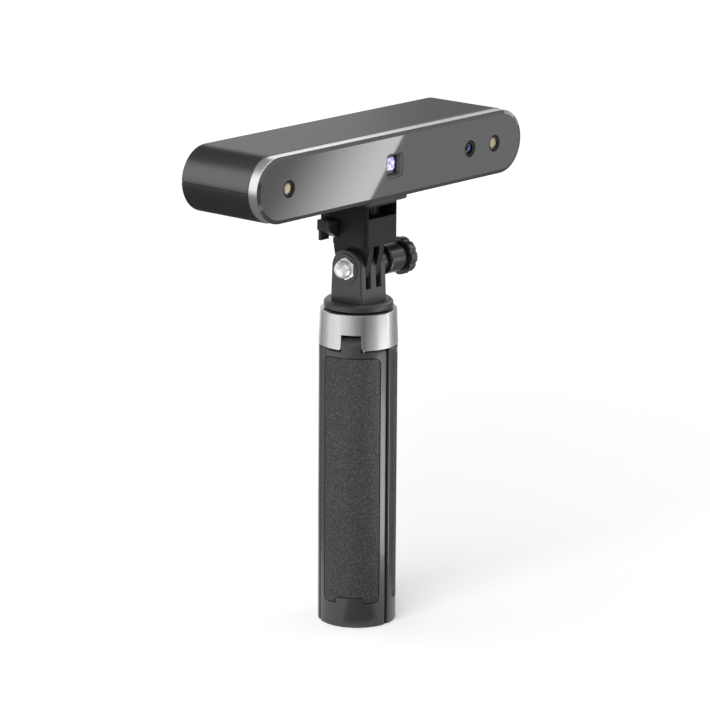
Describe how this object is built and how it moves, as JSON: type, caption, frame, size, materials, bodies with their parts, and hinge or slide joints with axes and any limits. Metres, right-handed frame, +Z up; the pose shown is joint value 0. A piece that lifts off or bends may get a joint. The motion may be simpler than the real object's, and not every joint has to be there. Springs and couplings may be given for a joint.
{
  "type": "desktop 3d scanner",
  "caption": "Bar-shaped structured-light 3D scanning head with cameras behind a dark glass, on a three-finger tilt joint and a round grip that opens into a mini tripod.",
  "frame": {"origin": "middle of the footprint, on the floor under the closed legs", "axes": "+Z up, the part's longest side; +X along the scanning head; +Y from the glass front towards the back, the shortest side"},
  "size_m": [0.1546, 0.0382, 0.1963],
  "materials": {
    "housing": "satin dark anodised",
    "bezel": "bright satin",
    "glass": "dark tinted, polished",
    "gasket": "matte",
    "camera_body": "matte black",
    "lens": "coated",
    "colour_lens": "coated",
    "board": "solder mask",
    "chip": "moulded",
    "carrier": "milled",
    "cover": "fine texture",
    "steel": "turned",
    "socket": "plated",
    "light": "clear",
    "brass": "knurled",
    "bracket": "satin moulded",
    "rubber": "matte",
    "clevis": "satin moulded",
    "chrome": "polished",
    "knob": "glossy",
    "collar": "turned satin",
    "leg": "satin moulded",
    "grip": "fine pebble"
  },
  "bodies": {
    "grip": {"clevis": "clevis", "dome_nut": "chrome", "collar": "collar", "hub_core": "clevis", "hub_bolt": "steel", "hinge_pins": "steel"},
    "head": {"upper_housing": "housing", "lower_housing": "housing", "front_bezel": "bezel", "glass_gasket": "gasket", "front_glass": "glass", "left_infrared_camera": "camera_body", "right_infrared_camera": "camera_body", "colour_camera": "camera_body", "infrared_lenses": "lens", "colour_lens": "colour_lens", "projector_frame": "camera_body", "projector_window": "lens", "projector_module": "camera_body", "sensor_carrier": "carrier", "main_board": "board", "board_chips": "chip", "rear_cover": "cover", "cable_socket": "socket", "socket_board": "board", "status_light": "light", "housing_screws": "steel", "thread_insert": "brass", "mount_plate": "bracket", "mount_pad": "rubber", "bracket_block": "bracket", "stop_pin": "steel", "button_spring": "steel"},
    "wheel": {"thumb_wheel": "knob", "mount_screw": "steel"},
    "button": {"release_button": "bracket"},
    "clamp": {"clamp_knob": "knob", "clamp_bolt": "steel", "clamp_washer": "steel"},
    "rear_leg_body": {"rear_leg": "leg", "rear_leg_pad": "grip"},
    "left_leg_body": {"left_leg": "leg", "left_leg_pad": "grip"},
    "right_leg_body": {"right_leg": "leg", "right_leg_pad": "grip"}
  },
  "joints": [
    {"name": "head_tilt", "type": "hinge", "parent": "grip", "child": "head", "pos_m": [0, -0.00125, 0.1418], "axis": [1, 0, 0], "range_deg": [-75, 75]},
    {"name": "wheel_turn", "type": "hinge", "parent": "head", "child": "wheel", "pos_m": [0, -0.00125, 0.165], "axis": [0, 0, 1], "continuous": true},
    {"name": "button_press", "type": "slide", "parent": "head", "child": "button", "axis": [1, 0, 0], "range_m": [0, 0.0025], "stiffness_N_per_m": 400, "springref_m": -0.001, "deforming": ["button_spring"]},
    {"name": "clamp_turn", "type": "hinge", "parent": "grip", "child": "clamp", "pos_m": [0, -0.00125, 0.1418], "axis": [1, 0, 0], "continuous": true},
    {"name": "rear_leg_fold", "type": "hinge", "parent": "grip", "child": "rear_leg_body", "pos_m": [0, 0.01075, 0.1134], "axis": [1, 0, 0], "range_deg": [0, 60]},
    {"name": "left_leg_fold", "type": "hinge", "parent": "grip", "child": "left_leg_body", "pos_m": [-0.01039, -0.00725, 0.1134], "axis": [-0.5, 0.866, 0], "range_deg": [0, 60]},
    {"name": "right_leg_fold", "type": "hinge", "parent": "grip", "child": "right_leg_body", "pos_m": [0.01039, -0.00725, 0.1134], "axis": [-0.5, -0.866, 0], "range_deg": [0, 60]}
  ]
}
